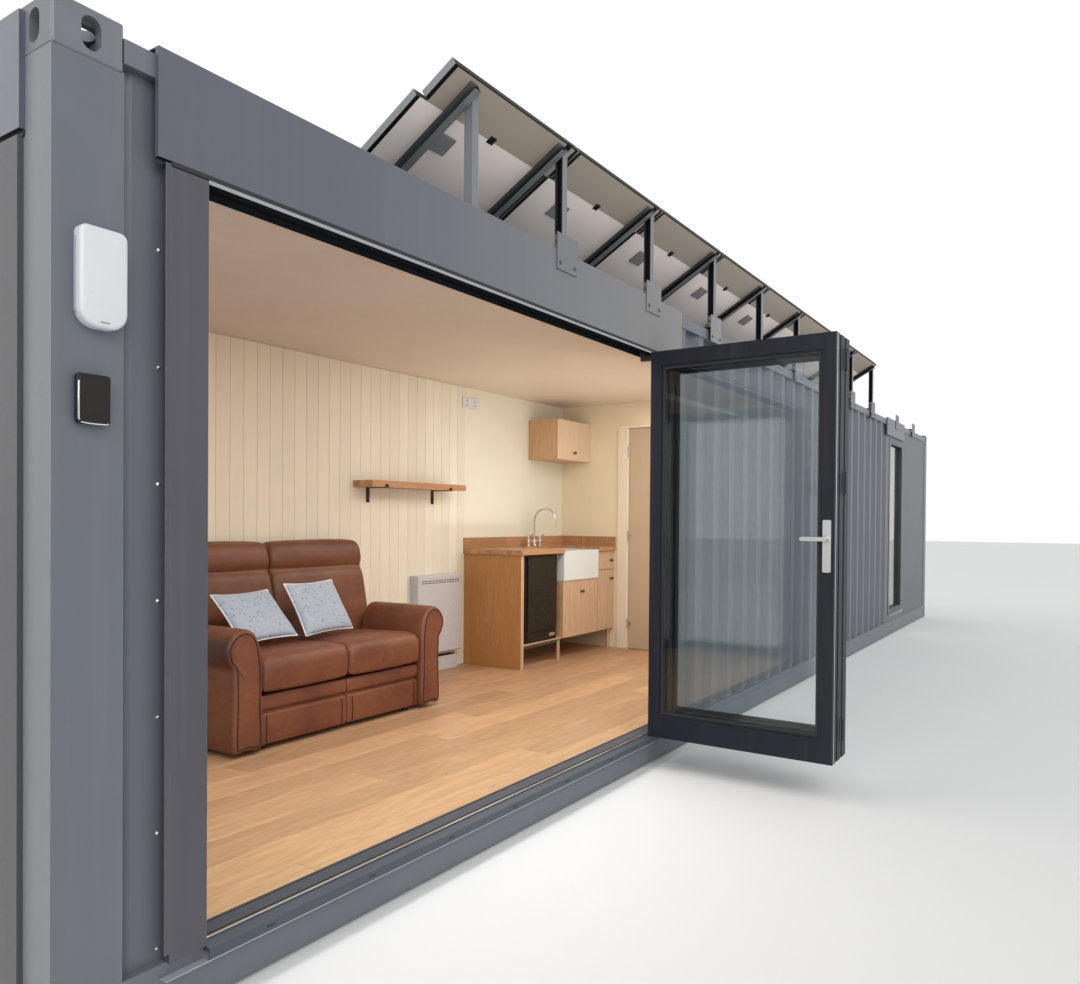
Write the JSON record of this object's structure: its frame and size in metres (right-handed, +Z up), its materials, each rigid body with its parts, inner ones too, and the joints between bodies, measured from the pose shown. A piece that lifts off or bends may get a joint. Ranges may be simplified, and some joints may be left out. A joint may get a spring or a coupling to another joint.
{
  "type": "shipping container cabin",
  "caption": "Long steel container turned into a cabin, with a folding glass door, a lined room with a kitchen and a sofa, and a solar array on the roof edge.",
  "frame": {"origin": "bottom centre of the bounding box, folded leaves and end cover included, on the plane of the corner castings' undersides", "axes": "+X along the container from the glazed end to the plain end, +Y from the folding door to the rear wall, +Z up"},
  "size_m": [12.207, 3.466, 3.085],
  "materials": {
    "container_paint": "satin anthracite paint, lightly weathered",
    "frame_coat": "matt powder coat, anthracite",
    "cover_coat": "satin paint, anthracite",
    "clear_glass": "clear double glazing with a faint green tint",
    "oak_floor": "oiled oak planks",
    "lining_board": "boards painted cream",
    "ceiling_board": "boards painted cream, smooth",
    "white_wood": "white satin paint",
    "door_wood": "painted boards, pale stone colour",
    "oak_unit": "pale oak veneer, matt",
    "oak_top": "oiled oak staves",
    "sink_glaze": "white glaze",
    "black_enamel": "black satin enamel",
    "rack_coat": "black powder coat",
    "panel_back": "grey backsheet in a black frame",
    "white_plastic": "white moulded plastic",
    "black_plastic": "black moulded plastic",
    "white_enamel": "white enamel",
    "tan_leather": "soft chestnut leather with sewn seams",
    "pillow_cloth": "pale woven cotton with small scattered marks",
    "satin_steel": "satin"
  },
  "bodies": {
    "cabin": {"corner_castings": "container_paint", "corner_posts": "container_paint", "top_rails": "container_paint", "bottom_rails": "container_paint", "cross_members": "container_paint", "front_wall": "container_paint", "rear_wall": "container_paint", "end_walls": "container_paint", "roof_sheet": "container_paint", "floor": "oak_floor", "rear_lining": "lining_board", "front_lining": "lining_board", "end_linings": "lining_board", "ceiling": "ceiling_board", "partition_wall": "lining_board", "partition_door_frame": "white_wood", "jamb_hinges": "satin_steel", "folding_door_frame": "frame_coat", "folding_door_sill": "frame_coat", "folding_door_leaves": "frame_coat", "folding_door_glass": "clear_glass", "folding_door_hinges": "frame_coat", "folding_door_handle": "satin_steel", "head_flashings": "cover_coat", "jamb_covers": "cover_coat", "window_frames": "frame_coat", "window_glass": "clear_glass", "rack_frames": "rack_coat", "rack_brackets": "cover_coat", "solar_panels_upper": "panel_back", "solar_panels_lower": "panel_back", "alarm_box": "white_plastic", "keypad": "black_plastic", "kitchen_units": "oak_unit", "worktop": "oak_top", "sink": "sink_glaze", "fridge": "black_enamel", "wall_shelf": "oak_top", "panel_heater": "white_enamel", "sofa_plinth": "tan_leather", "sofa_arms": "tan_leather", "sofa_cushions": "tan_leather", "scatter_pillows": "pillow_cloth"},
    "partition_leaf": {"partition_door": "door_wood", "partition_door_handle": "satin_steel", "partition_door_hinges": "satin_steel"}
  },
  "joints": [
    {"name": "partition_door_hinge", "type": "hinge", "parent": "cabin", "child": "partition_leaf", "pos_m": [-0.1445, 0.8525, 1.185], "axis": [0, 0, -1], "range_deg": [0, 90]}
  ]
}
